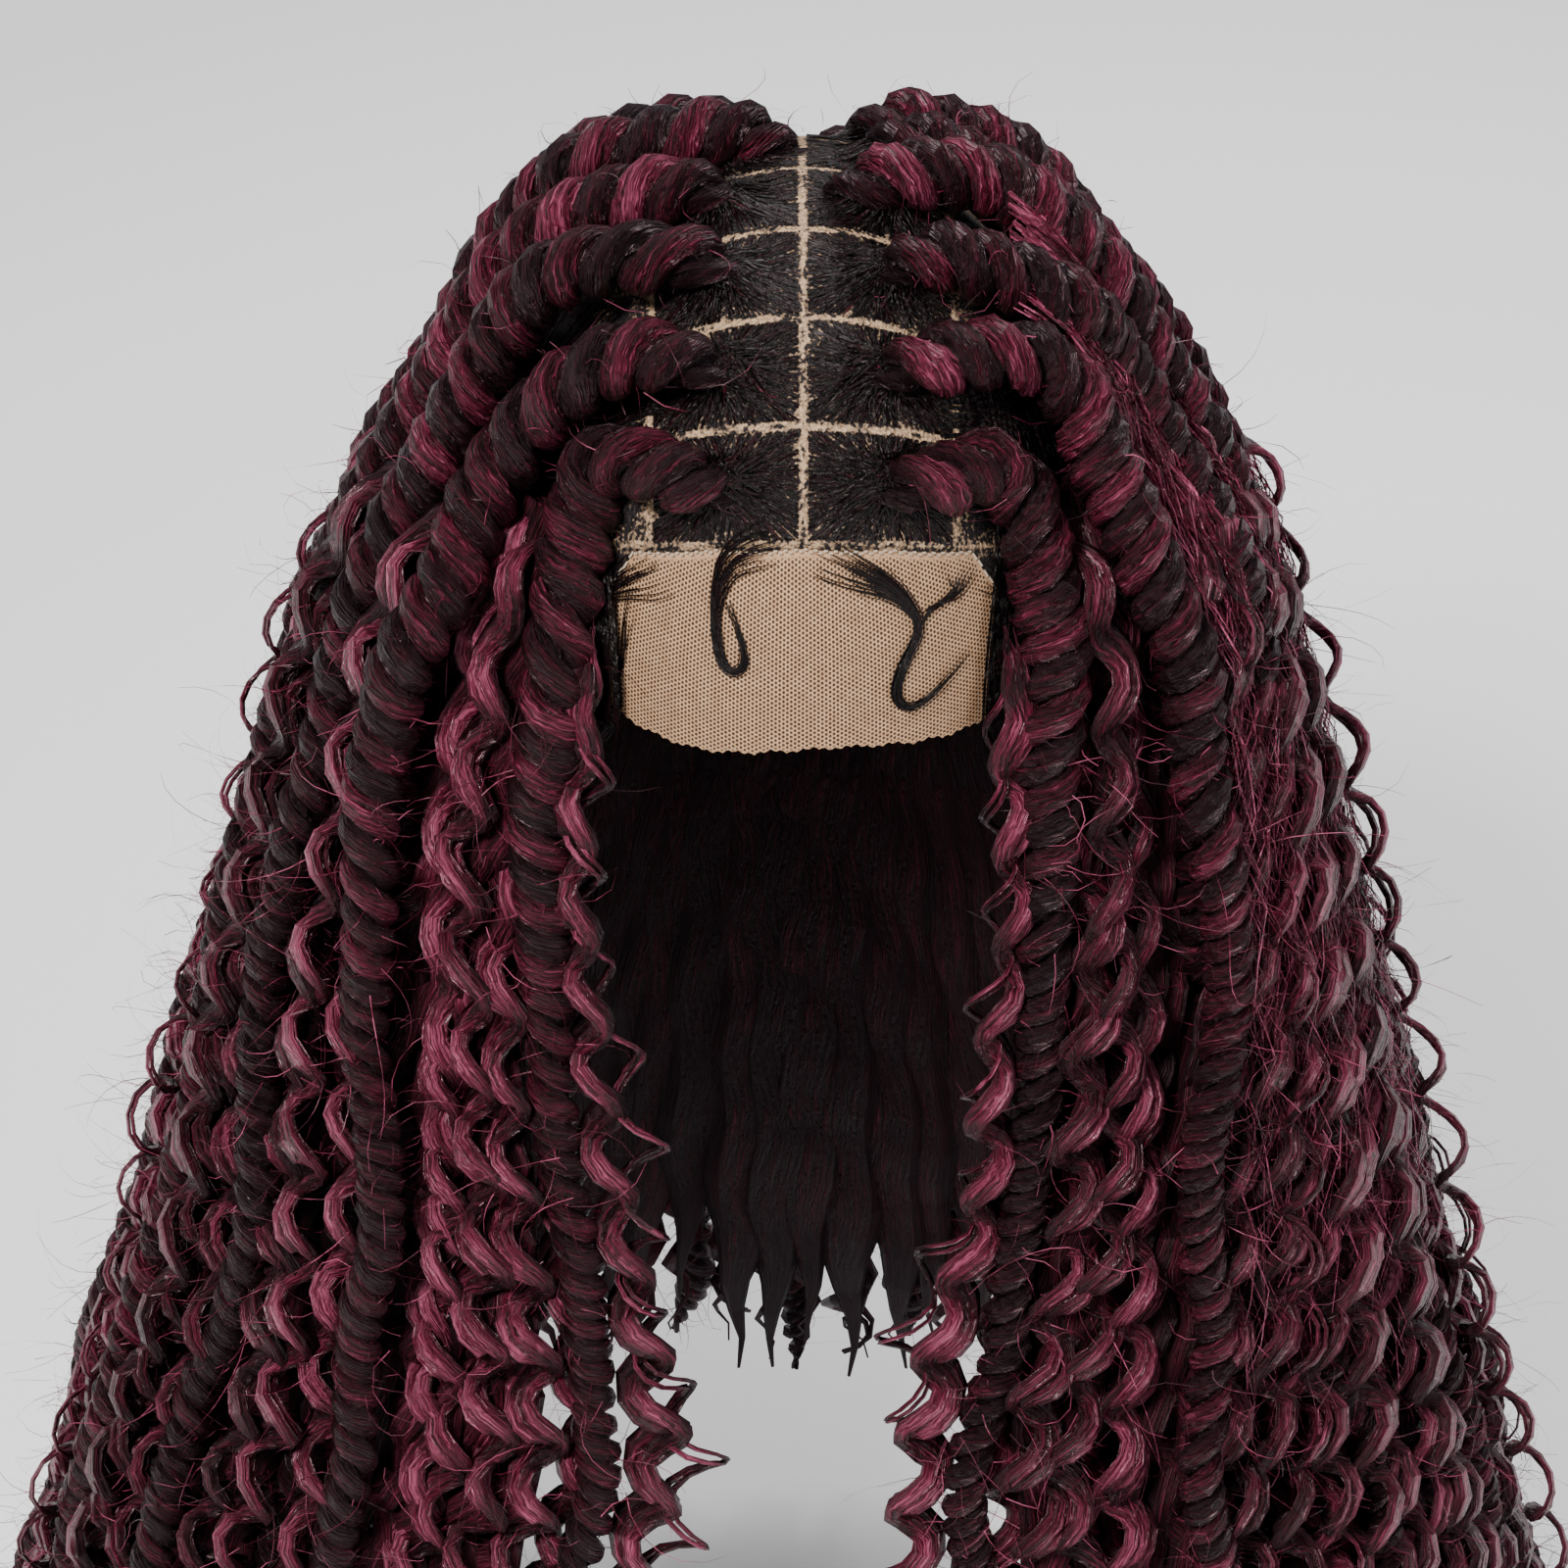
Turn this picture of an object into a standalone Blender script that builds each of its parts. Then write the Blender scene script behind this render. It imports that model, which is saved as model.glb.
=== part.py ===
"""A lace-front wig of long two-strand twists and loose curls, held as a head wears it.

Metres, +Z up, the face opening towards -Y. The origin is the inside of the crown, where the head meets
the cap. Row angles run over the middle of the head from the front, and side angles from its middle
towards the ears. Azimuths run round the head from the front. Every lock leaves the cap, lies over the
head and hangs outside the under hair in a slot of its own. Slot 0 is the hair's edge at the face and
slot 1 the middle of the back.
"""

import math

import bmesh
import bpy
from mathutils import Vector

# The head that the cap fits
HEAD_HALF_WIDTH = 0.078
HEAD_HALF_LENGTH = 0.099
CROWN_HEIGHT = 0.114

# Cap and lace front
CAP_WALL = 0.0015
LACE_WALL = 0.001
LACE_DROP = 0.057
LACE_EDGE_WAVE = 0.0015
LACE_HALF_COLUMNS = 5
LACE_ROWS = 3
CAP_COLUMNS = 40
CAP_RINGS = 10
CROWN_RINGS = 4
SEAM_GAP = 0.0004

# The cap's edge: azimuth in degrees, height above the widest level as a share of CROWN_HEIGHT
RIM = (
    (0, 0.49),
    (18, 0.47),
    (36, 0.41),
    (45, 0.20),
    (54, -0.12),
    (72, -0.15),
    (90, -0.02),
    (108, -0.08),
    (126, -0.34),
    (144, -0.50),
    (180, -0.58),
)

# Thickness of the locks
TWIST_RADIUS = 0.0086
UNDER_TWIST_RADIUS = 0.0078
CURL_RADIUS = 0.0048
UNDER_HAIR_THICKNESS = 0.009
UNDER_HAIR_GAP = 0.0009
TWIST_ROOT_SHARE = 0.25
CURL_ROOT_SHARE = 0.4
THIN_END_SHARE = 0.86
TIP_SHARE = 0.45
REST_GAP = 0.0002
LOCK_GAP = 0.0003

# Where the outer twists grow: rows beside the middle parting, then a fan of roots round the crown.
# Roots beyond the parting are set a little deeper, because the cap's facets lie inside its true curve
ROW_PITCH = 0.0292
LAST_ROW_ANGLE = 118
ROOT_ANGLE = 12
FAN_ROWS = 3
FAN_ELEVATION = 41
FAN_SINK = 0.0007
ROOT_SINK = 0.0004

# How the front rows sweep sideways over the head before they fall
SWEEP_ANGLE = 50
SWEEP_BACK = 31
SWEEP_END_ANGLE = 100
FALL_HEIGHT = 0.050

# Shares of the way over the head: where the outer twists have risen clear of the inner roots, and where
# the inner twists and the curls begin. UNDER_SPREAD is how far to the side of an inner twist's root the
# outer twists pass. The curl at the face clears the under hair
RISE_SHARE = 0.42
UNDER_START = 0.5
CURL_START = 0.78
FACE_CURL_START = 0.7
FACE_CURL_CLEARANCE = 0.0011
UNDER_SPREAD = 0.0079

# How the hair hangs: it spreads to the sides from a little above the widest level of the head, flares
# on its way down, and closes in front of the chest
SIDE_SPREAD = 0.12
SPREAD_HEIGHT = 0.06
HAIR_DROP = 0.45
TIP_STEP = 0.010
SIDE_FLARE = 0.26
BACK_FLARE = 0.12
FRONT_FLARE = 0.07
FACE_AZIMUTH = 32
CHEST_AZIMUTH = 6.5
CHEST_DROP = 0.225
CURL_SWAY = 0.0028

# Sections along each kind of lock: over the head, then hanging. The counts round them follow
TWIST_SECTIONS = (7, 8)
UNDER_SECTIONS = (4, 8)
CURL_SECTIONS = (2, 12)
TWIST_ROUND_COUNT = 1
UNDER_ROUND_COUNT = 2
CURL_ROUND_COUNT = 1
UNDER_HAIR_COLUMNS = 22
UNDER_HAIR_ROWS = 8

CAP_HALF_WIDTH = HEAD_HALF_WIDTH + CAP_WALL
CAP_HALF_LENGTH = HEAD_HALF_LENGTH + CAP_WALL
CAP_HEIGHT = CROWN_HEIGHT + CAP_WALL
CROWN_SHARE = 1 - CROWN_RINGS / CAP_RINGS
SEAM_SHARE = SEAM_GAP / (CAP_HEIGHT * math.pi / 2)
SEAM_ANGLE = math.degrees(SEAM_GAP / CAP_HALF_WIDTH) * 0.7
ROW_STEP = math.degrees(2 * ROW_PITCH / (CAP_HALF_LENGTH + CAP_HEIGHT))
FIRST_ROW_ANGLE = math.degrees(math.asin(RIM[0][1])) + ROW_STEP / 2
PARTED_ROWS = int((LAST_ROW_ANGLE - FIRST_ROW_ANGLE) / ROW_STEP) + 1
ROWS = PARTED_ROWS + FAN_ROWS

# Height of each lock's centre above the cap: at rest on it, over the inner roots, and at the sides
TWIST_REST = TWIST_RADIUS + REST_GAP
UNDER_REST = UNDER_TWIST_RADIUS + REST_GAP
CROSSING = TWIST_RADIUS + UNDER_TWIST_RADIUS + LOCK_GAP
TWIST_OVER = UNDER_REST + math.sqrt(max(CROSSING**2 - UNDER_SPREAD**2, 0))
UNDER_SIDE = UNDER_HAIR_THICKNESS + LOCK_GAP + UNDER_TWIST_RADIUS
CURL_STACK = UNDER_TWIST_RADIUS + LOCK_GAP + CURL_RADIUS
TWIST_SIDE = UNDER_SIDE + CURL_STACK
UNDER_EDGE = 0.5 / ROWS + (TWIST_RADIUS + LOCK_GAP) / (CAP_HALF_WIDTH * math.radians(180 - FACE_AZIMUTH))

HAIR_BLACK = (0.012, 0.010, 0.011, 1)
HAIR_BURGUNDY = (0.115, 0.010, 0.024, 1)
HAIR_DARK = (0.055, 0.008, 0.015, 1)
LACE_TAN = (0.56, 0.37, 0.22, 1)


def smooth(t):
    """Eases from 0 to 1 as t does, and stays there outside."""
    t = min(max(t, 0.0), 1.0)
    return t * t * (3 - 2 * t)


def mix(a, b, t):
    return a + (b - a) * t


def mirrored(point):
    return Vector((-point.x, point.y, point.z))


def on_head(azimuth, elevation, height=0.0):
    """A point at a height above the cap's outer surface, by its two angles in degrees."""
    turn = math.radians(azimuth)
    rise = math.radians(elevation)
    return Vector((
        (CAP_HALF_WIDTH + height) * math.cos(rise) * math.sin(turn),
        -(CAP_HALF_LENGTH + height) * math.cos(rise) * math.cos(turn),
        (CAP_HEIGHT + height) * math.sin(rise) - CROWN_HEIGHT,
    ))


def lifted(point, height):
    """The point moved to a height above the cap's outer surface, along its own direction."""
    x = point.x / CAP_HALF_WIDTH
    y = point.y / CAP_HALF_LENGTH
    z = (point.z + CROWN_HEIGHT) / CAP_HEIGHT
    unit = Vector((x, y, z)).normalized()
    return Vector((
        unit.x * (CAP_HALF_WIDTH + height),
        unit.y * (CAP_HALF_LENGTH + height),
        unit.z * (CAP_HEIGHT + height) - CROWN_HEIGHT,
    ))


def spread(point):
    """The point moved sideways, away from the head, where the hair stands off it."""
    share = smooth((SPREAD_HEIGHT - CROWN_HEIGHT - point.z) / SPREAD_HEIGHT)
    return Vector((point.x * (1 + SIDE_SPREAD * share), point.y, point.z))


def scalp_point(row_angle, side_angle):
    """A point of the cap by its row and its angle to the side."""
    row = math.radians(row_angle)
    side = math.radians(side_angle)
    return Vector((
        CAP_HALF_WIDTH * math.sin(side),
        -CAP_HALF_LENGTH * math.cos(side) * math.cos(row),
        CAP_HEIGHT * math.cos(side) * math.sin(row) - CROWN_HEIGHT,
    ))


def drape_point(slot, height, drop):
    """A point of the hanging hair, by its slot, its height outside the cap's size and its drop."""
    half_width = CAP_HALF_WIDTH + height + SIDE_FLARE * drop
    front = CAP_HALF_LENGTH + height + FRONT_FLARE * drop
    back = CAP_HALF_LENGTH + height + BACK_FLARE * drop
    edge = mix(FACE_AZIMUTH, CHEST_AZIMUTH, min(drop / CHEST_DROP, 1))
    azimuth = math.radians(mix(edge, 180, slot))
    depth = front if math.cos(azimuth) > 0 else back
    return Vector((
        half_width * math.sin(azimuth),
        -depth * math.cos(azimuth),
        -CROWN_HEIGHT - drop,
    ))


def hanging(slot, height, tip_step, sections):
    """Points of a lock from the widest level down, at the same drops as its neighbours."""
    drops = [HAIR_DROP * n / sections for n in range(sections)] + [HAIR_DROP + tip_step]
    return [spread(drape_point(slot, height, drop)) for drop in drops]


def over_head(row, t):
    """The way of one row over the head, on the cap, from its root to its slot at the widest level."""
    if row == ROWS:
        return mirrored(over_head(ROWS - 1, t))
    slot = (row + 0.5) / ROWS
    end = drape_point(slot, 0, 0)
    if row < PARTED_ROWS:
        row_angle = FIRST_ROW_ANGLE + row * ROW_STEP
        root = scalp_point(row_angle, ROOT_ANGLE)
        back = SWEEP_BACK * smooth((SWEEP_END_ANGLE - row_angle) / (SWEEP_END_ANGLE - FIRST_ROW_ANGLE))
        sweep = scalp_point(row_angle + back, SWEEP_ANGLE)
    else:
        root = on_head(mix(FACE_AZIMUTH, 180, slot), FAN_ELEVATION)
        sweep = root.lerp(end, 0.33)
    fall = end + Vector((0, 0, FALL_HEIGHT))
    s = 1 - t
    return root * s**3 + sweep * (3 * t * s * s) + fall * (3 * t * t * s) + end * t**3


def twist_way(row, sections):
    """Points along an outer twist. The front one lies on the cap, and the others over the inner roots."""
    over, side = (TWIST_OVER, TWIST_SIDE) if row else (TWIST_REST, TWIST_REST)
    above, below = sections
    sink = 0 if row < PARTED_ROWS else FAN_SINK
    points = [lifted(over_head(row, 0), TWIST_RADIUS * TWIST_ROOT_SHARE + REST_GAP - sink)]
    for n in range(1, above):
        t = n / above
        height = mix(TWIST_REST, over, smooth(t / RISE_SHARE))
        height += (side - over) * smooth((t - RISE_SHARE) / (1 - RISE_SHARE))
        points.append(spread(lifted(over_head(row, t), height)))
    return points + hanging((row + 0.5) / ROWS, side, TIP_STEP * (row * 2 % 3 - 1), below)


def under_way(row, sections, start, root, rest, side, sway=0.0):
    """Points along a lock between two outer twists, from a start over the head down to its tip."""
    slot = (row + 1) / ROWS
    above, below = sections
    points = [spread(lifted((over_head(row, start) + over_head(row + 1, start)) / 2, root))]
    for n in range(1, above):
        t = mix(start, 1, n / above)
        height = mix(rest, side, smooth((t - UNDER_START) / (1 - UNDER_START)))
        points.append(spread(lifted((over_head(row, t) + over_head(row + 1, t)) / 2, height)))
    along = (drape_point(slot - 0.01, side, 0) - drape_point(slot + 0.01, side, 0)).normalized()
    for n, point in enumerate(hanging(slot, side, TIP_STEP * (row % 3 - 1), below)):
        points.append(point + along * (sway * (-1) ** n * smooth(4 * n / below)))
    return points


def rim_height(azimuth):
    """Height of the cap's edge above the widest level."""
    for (low, low_share), (high, high_share) in zip(RIM, RIM[1:]):
        if azimuth <= high:
            return CROWN_HEIGHT * mix(low_share, high_share, (azimuth - low) / (high - low))
    return CROWN_HEIGHT * RIM[-1][1]


def at_height(azimuth, height):
    """A point of the cap's outer surface by its azimuth and its height above the widest level."""
    return on_head(azimuth, math.degrees(math.asin(height / CAP_HEIGHT)))


def make_material(name, colour, roughness, sheen=0.0):
    material = bpy.data.materials.new(name)
    material.use_nodes = True
    shader = material.node_tree.nodes["Principled BSDF"]
    shader.inputs["Base Color"].default_value = colour
    shader.inputs["Roughness"].default_value = roughness
    shader.inputs["Metallic"].default_value = 0.0
    shader.inputs["Sheen Weight"].default_value = sheen
    return material


def add_shell(name, cage, wall, material, outward=False):
    """A solid wall made from an open surface, inwards from it or outwards."""
    mesh = bpy.data.meshes.new(name)
    cage.to_mesh(mesh)
    cage.free()
    mesh.materials.append(material)
    shell = bpy.data.objects.new(name, mesh)
    wig.objects.link(shell)
    solidify = shell.modifiers.new("Wall", "SOLIDIFY")
    solidify.thickness = wall
    solidify.offset = 1 if outward else -1
    return shell


def cap_point(azimuth, share):
    """A point of the cap, by its azimuth and its share of the way from the cap's edge up to the crown."""
    edge = math.degrees(math.asin(rim_height(abs(azimuth)) / CAP_HEIGHT))
    return on_head(azimuth, mix(edge, 90, share))


def add_cap_crown():
    """The round top panel of the cap."""
    cage = bmesh.new()
    bmesh.ops.create_uvsphere(cage, u_segments=CAP_COLUMNS, v_segments=2 * CAP_RINGS, radius=1)
    lowest = math.sin(math.pi / 2 * (CROWN_SHARE - 0.001))
    bmesh.ops.delete(cage, geom=[vert for vert in cage.verts if vert.co.z < lowest], context="VERTS")
    for vert in cage.verts:
        azimuth = math.degrees(math.atan2(vert.co.x, -vert.co.y))
        share = math.asin(min(vert.co.z, 1)) / (math.pi / 2)
        vert.co = cap_point(azimuth, share if share > CROWN_SHARE + 0.001 else share + SEAM_SHARE)
    return add_shell("cap_crown", cage, CAP_WALL, cap_material)


def add_cap_panel(name, middle):
    """A panel between the crown and the cap's edge, a quarter of the way round, by its middle azimuth."""
    columns = CAP_COLUMNS // 4
    reach = 45 - SEAM_ANGLE
    cage = bmesh.new()
    bmesh.ops.create_grid(cage, x_segments=columns, y_segments=CAP_RINGS - CROWN_RINGS, size=1)
    for vert in cage.verts:
        azimuth = (middle + reach * vert.co.x + 180) % 360 - 180
        vert.co = cap_point(azimuth, (CROWN_SHARE - SEAM_SHARE) * (vert.co.y + 1) / 2)
    return add_shell(name, cage, CAP_WALL, cap_material)


def add_lace_front():
    """A band of net that goes on from the cap's front edge, in the same columns, to a cut lower edge."""
    column = 360 / CAP_COLUMNS
    cage = bmesh.new()
    bmesh.ops.create_grid(cage, x_segments=2 * LACE_HALF_COLUMNS, y_segments=LACE_ROWS, size=1)
    for vert in cage.verts:
        number = round((vert.co.x + 1) * LACE_HALF_COLUMNS)
        azimuth = (number - LACE_HALF_COLUMNS) * column
        top = rim_height(abs(azimuth)) - SEAM_GAP
        low = rim_height(0) - LACE_DROP + LACE_EDGE_WAVE * (-1) ** number
        vert.co = at_height(azimuth, mix(low, top, (vert.co.y + 1) / 2))
    return add_shell("lace_front", cage, LACE_WALL, lace_material)


def add_under_hair():
    """One sheet of packed hair, from the face edge on one side round the back to the other."""
    cage = bmesh.new()
    bmesh.ops.create_grid(cage, x_segments=UNDER_HAIR_COLUMNS, y_segments=UNDER_HAIR_ROWS, size=1)
    for vert in cage.verts:
        slot = mix(UNDER_EDGE, 1, 1 - abs(vert.co.x))
        point = spread(drape_point(slot, UNDER_HAIR_GAP, HAIR_DROP * (1 - vert.co.y) / 2))
        vert.co = mirrored(point) if vert.co.x > 0 else point
    wall = UNDER_HAIR_THICKNESS - UNDER_HAIR_GAP
    return add_shell("under_hair", cage, wall, under_material, outward=True)


def add_lock(name, points, radius, material, bevel, root_share):
    """A lock of hair as a round tube with a thin root, which thins a little all the way to its tip."""
    curve = bpy.data.curves.new(name, "CURVE")
    curve.dimensions = "3D"
    curve.bevel_depth = radius
    curve.bevel_resolution = bevel
    curve.use_fill_caps = True
    spline = curve.splines.new("POLY")
    spline.points.add(len(points) - 1)
    for n, point in enumerate(points):
        spline.points[n].co = (*point, 1)
        spline.points[n].radius = mix(1, THIN_END_SHARE, n / (len(points) - 1))
    spline.points[0].radius = root_share
    spline.points[-1].radius = TIP_SHARE
    curve.materials.append(material)
    lock = bpy.data.objects.new(name, curve)
    wig.objects.link(lock)
    return lock


def add_pair(kind, number, points, *style):
    """A lock and its mirror image, or one lock alone where it hangs down the middle of the back."""
    if abs(points[0].x) < REST_GAP:
        add_lock(f"{kind}_middle", points, *style)
        return
    add_lock(f"{kind}_{number}_right", points, *style)
    add_lock(f"{kind}_{number}_left", [mirrored(point) for point in points], *style)


def add_twist(row):
    points = twist_way(row, TWIST_SECTIONS)
    add_pair("twist", row + 1, points, TWIST_RADIUS, twist_material, TWIST_ROUND_COUNT, TWIST_ROOT_SHARE)


def add_under_twist(row):
    sink = ROOT_SINK if row < PARTED_ROWS - 1 else FAN_SINK
    root = UNDER_TWIST_RADIUS * TWIST_ROOT_SHARE + REST_GAP - sink
    points = under_way(row, UNDER_SECTIONS, UNDER_START, root, UNDER_REST, UNDER_SIDE)
    style = (UNDER_TWIST_RADIUS, under_twist_material, UNDER_ROUND_COUNT, TWIST_ROOT_SHARE)
    add_pair("under_twist", row, points, *style)


def add_curl(row):
    """A curl on an inner twist, or at the face, where there is none, on the cap and the under hair."""
    root_radius = CURL_RADIUS * CURL_ROOT_SHARE
    if row == 0:
        start, root = FACE_CURL_START, root_radius + REST_GAP - ROOT_SINK
        rest, side = CURL_RADIUS + REST_GAP, UNDER_HAIR_THICKNESS + FACE_CURL_CLEARANCE + CURL_RADIUS
    else:
        start = CURL_START
        rest, side = UNDER_REST + CURL_STACK, UNDER_SIDE + CURL_STACK
        share = smooth((start - UNDER_START) / (1 - UNDER_START))
        root = mix(rest, side, share) - CURL_RADIUS + root_radius
    points = under_way(row, CURL_SECTIONS, start, root, rest, side, CURL_SWAY)
    add_pair("curl", row + 1, points, CURL_RADIUS, curl_material, CURL_ROUND_COUNT, CURL_ROOT_SHARE)


for old in list(bpy.data.objects):
    bpy.data.objects.remove(old, do_unlink=True)

wig = bpy.data.collections.new("braid_wig")
bpy.context.scene.collection.children.link(wig)

cap_material = make_material("lace_cap", HAIR_BLACK, 0.75)
lace_material = make_material("lace_front", LACE_TAN, 0.85)
twist_material = make_material("twist_hair", HAIR_DARK, 0.5, 0.3)
under_twist_material = make_material("under_twist_hair", HAIR_DARK, 0.55, 0.3)
curl_material = make_material("curl_hair", HAIR_BURGUNDY, 0.45, 0.3)
under_material = make_material("under_hair", HAIR_BLACK, 0.65, 0.2)

add_cap_crown()
add_cap_panel("cap_front", 0)
add_cap_panel("cap_right", 90)
add_cap_panel("cap_back", 180)
add_cap_panel("cap_left", -90)
add_lace_front()
add_under_hair()
for row in range(ROWS):
    add_twist(row)
    add_curl(row)
for row in range(1, ROWS):
    add_under_twist(row)
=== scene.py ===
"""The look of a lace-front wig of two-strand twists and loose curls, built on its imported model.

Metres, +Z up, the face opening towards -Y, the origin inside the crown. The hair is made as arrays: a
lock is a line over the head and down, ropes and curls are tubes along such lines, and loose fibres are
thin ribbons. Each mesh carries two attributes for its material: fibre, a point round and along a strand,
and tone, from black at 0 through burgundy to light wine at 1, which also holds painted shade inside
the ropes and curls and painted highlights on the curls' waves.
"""

import math

import bpy
import numpy as np
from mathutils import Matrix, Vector


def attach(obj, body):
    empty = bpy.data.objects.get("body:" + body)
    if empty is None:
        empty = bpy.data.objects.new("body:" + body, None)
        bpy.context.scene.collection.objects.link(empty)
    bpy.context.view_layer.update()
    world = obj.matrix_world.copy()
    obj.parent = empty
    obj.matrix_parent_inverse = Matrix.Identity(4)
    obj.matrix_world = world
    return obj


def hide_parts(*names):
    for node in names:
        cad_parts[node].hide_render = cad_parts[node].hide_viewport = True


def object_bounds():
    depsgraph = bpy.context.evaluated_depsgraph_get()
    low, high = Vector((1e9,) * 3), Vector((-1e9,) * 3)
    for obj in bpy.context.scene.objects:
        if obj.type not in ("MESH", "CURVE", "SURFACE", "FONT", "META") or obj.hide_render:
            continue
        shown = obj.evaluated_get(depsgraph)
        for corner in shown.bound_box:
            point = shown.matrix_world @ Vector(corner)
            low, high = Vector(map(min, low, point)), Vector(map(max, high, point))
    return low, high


# The head and cap, as in the model
CAP_WALL = 0.0015
CROWN = 0.114
HALF_WIDTH = 0.078 + CAP_WALL
HALF_LENGTH = 0.099 + CAP_WALL
CAP_HEIGHT = CROWN + CAP_WALL
RIM_AZIMUTH = (0, 18, 36, 45, 54, 72, 90, 108, 126, 144, 180)
RIM_SHARE = (0.49, 0.47, 0.41, 0.20, -0.12, -0.15, -0.02, -0.08, -0.34, -0.50, -0.58)

# Rows of roots, the way over the head and how the hair hangs, as in the model. Only CHEST_AZIMUTH is
# larger, so that the hair hangs further apart on the chest. Angles are in degrees.
ROW_PITCH = 0.0292
ROW_STEP = math.degrees(2 * ROW_PITCH / (HALF_LENGTH + CAP_HEIGHT))
FIRST_ROW = math.degrees(math.asin(RIM_SHARE[0])) + ROW_STEP / 2
PARTED_ROWS = 6
ROWS = 9
ROOT_ANGLE = 12
FAN_ELEVATION = 41
SWEEP_ANGLE = 50
SWEEP_BACK = 31
SWEEP_END = 100
FALL_HEIGHT = 0.050
SIDE_SPREAD = 0.12
SPREAD_HEIGHT = 0.06
HAIR_DROP = 0.45
SIDE_FLARE = 0.26
BACK_FLARE = 0.12
FRONT_FLARE = 0.07
FACE_AZIMUTH = 32
CHEST_AZIMUTH = 7.2
CHEST_DROP = 0.225

# How far to the side the second partings run, in degrees
SIDE_PARTING = 29

# Heights of lock centres above the cap, as in the model, but for a lower TWIST_OVER
TWIST_REST = 0.0088
TWIST_OVER = 0.0200
TWIST_SIDE = 0.0300
UNDER_REST = 0.0080
UNDER_SIDE = 0.0171

# Ropes, curls and threads: radii, steps between tips, lengths of a turn or wave, and how many stitches
# and points along a line
TWIST_RADIUS = 0.0095
INNER_RADIUS = 0.0084
TIP_STEP = 0.010
PITCH_ABOVE = 0.0235
PITCH_BELOW = 0.0175
CURL_WIDTH = 0.0068
CURL_THICK = 0.0042
CURL_WAVE = (0.0265, 0.0295)
WEFT_RADIUS = 0.0009
STITCH_RADIUS = 0.00035
STITCHES = 86
LINE_POINTS = 400
ROPE_POINTS = 500
SIDES = ((-1, "left"), (1, "right"))

# Fibres: their widths, and how many stand off each rope, hang brushed out, are drawn to each root, are
# combed down the scalp and stand off the wig
FIBRE_WIDTH = (0.00024, 0.00040)
TWIST_FIBRES = 520
INNER_FIBRES = 120
BRUSHED_FIBRES = 1300
ROOT_FIBRES = 340
COMBED_FIBRES = 800
FRIZZ_FIBRES = 6500

# Lace front: its mesh size, how far its edge waves, and about the head's radius behind it
NET_PITCH = 0.0011
EDGE_WAVE = 0.0020
FOREHEAD_RADIUS = 0.0875

# How much wider the hair hangs on the left, as a share, and how far out it is moved there on the chest
LEFT_SPREAD = 0.05
LEFT_SHIFT = 0.014

# How far loose fibres may pass the model's box
FRIZZ_ROOM = (0.019, 0.0185, 0.020)

# How far one tube or ribbon lies from the next in the material's fibre space, so that no two look alike
TUBE_STEP = 0.037
RIBBON_STEP = 0.013


def smooth(t):
    t = np.clip(t, 0, 1)
    return t * t * (3 - 2 * t)


def mix(a, b, t):
    return a + (b - a) * t


def unit(v):
    return v / np.maximum(np.linalg.norm(v, axis=-1, keepdims=True), 1e-12)


def stack(x, y, z):
    return np.stack(np.broadcast_arrays(x, y, z), axis=-1).astype(float)


def scalp_point(row_angle, side_angle, height=0.0):
    """A point above the cap by its angle over the head from the front and its angle to the side."""
    row, side = np.radians(row_angle), np.radians(side_angle)
    return stack(
        (HALF_WIDTH + height) * np.sin(side),
        -(HALF_LENGTH + height) * np.cos(side) * np.cos(row),
        (CAP_HEIGHT + height) * np.cos(side) * np.sin(row) - CROWN,
    )


def on_head(azimuth, elevation, height=0.0):
    """A point above the cap by its azimuth from the front and its elevation, in degrees."""
    turn, rise = np.radians(azimuth), np.radians(elevation)
    return stack(
        (HALF_WIDTH + height) * np.cos(rise) * np.sin(turn),
        -(HALF_LENGTH + height) * np.cos(rise) * np.cos(turn),
        (CAP_HEIGHT + height) * np.sin(rise) - CROWN,
    )


def lifted(points, height):
    """Points moved to a height above the cap's outer surface, along their own directions."""
    axes = np.array((HALF_WIDTH, HALF_LENGTH, CAP_HEIGHT))
    crown = np.array((0, 0, CROWN))
    directions = unit((points + crown) / axes)
    return directions * (axes + np.reshape(height, (-1, 1))) - crown


def spread(points):
    """Points moved sideways, away from the head, where the hair stands off it."""
    share = smooth((SPREAD_HEIGHT - CROWN - points[..., 2]) / SPREAD_HEIGHT)
    out = points.copy()
    out[..., 0] *= 1 + SIDE_SPREAD * share
    return out


def outward(points):
    """The direction away from the head at each point."""
    up = np.maximum(points[..., 2] + CROWN, 0)
    return unit(stack(
        points[..., 0] / HALF_WIDTH**2, points[..., 1] / HALF_LENGTH**2, up / CAP_HEIGHT**2
    ))


def drape(slot, height, drop):
    """Points of the hanging hair. Slot 0 is its edge at the face and slot 1 the middle of the back."""
    edge = mix(FACE_AZIMUTH, CHEST_AZIMUTH, np.clip(drop / CHEST_DROP, 0, 1))
    azimuth = np.radians(mix(edge, 180, slot))
    flare = np.where(np.cos(azimuth) > 0, FRONT_FLARE, BACK_FLARE)
    return stack(
        (HALF_WIDTH + height + SIDE_FLARE * drop) * np.sin(azimuth),
        -(HALF_LENGTH + height + flare * drop) * np.cos(azimuth),
        -CROWN - drop,
    )


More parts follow.
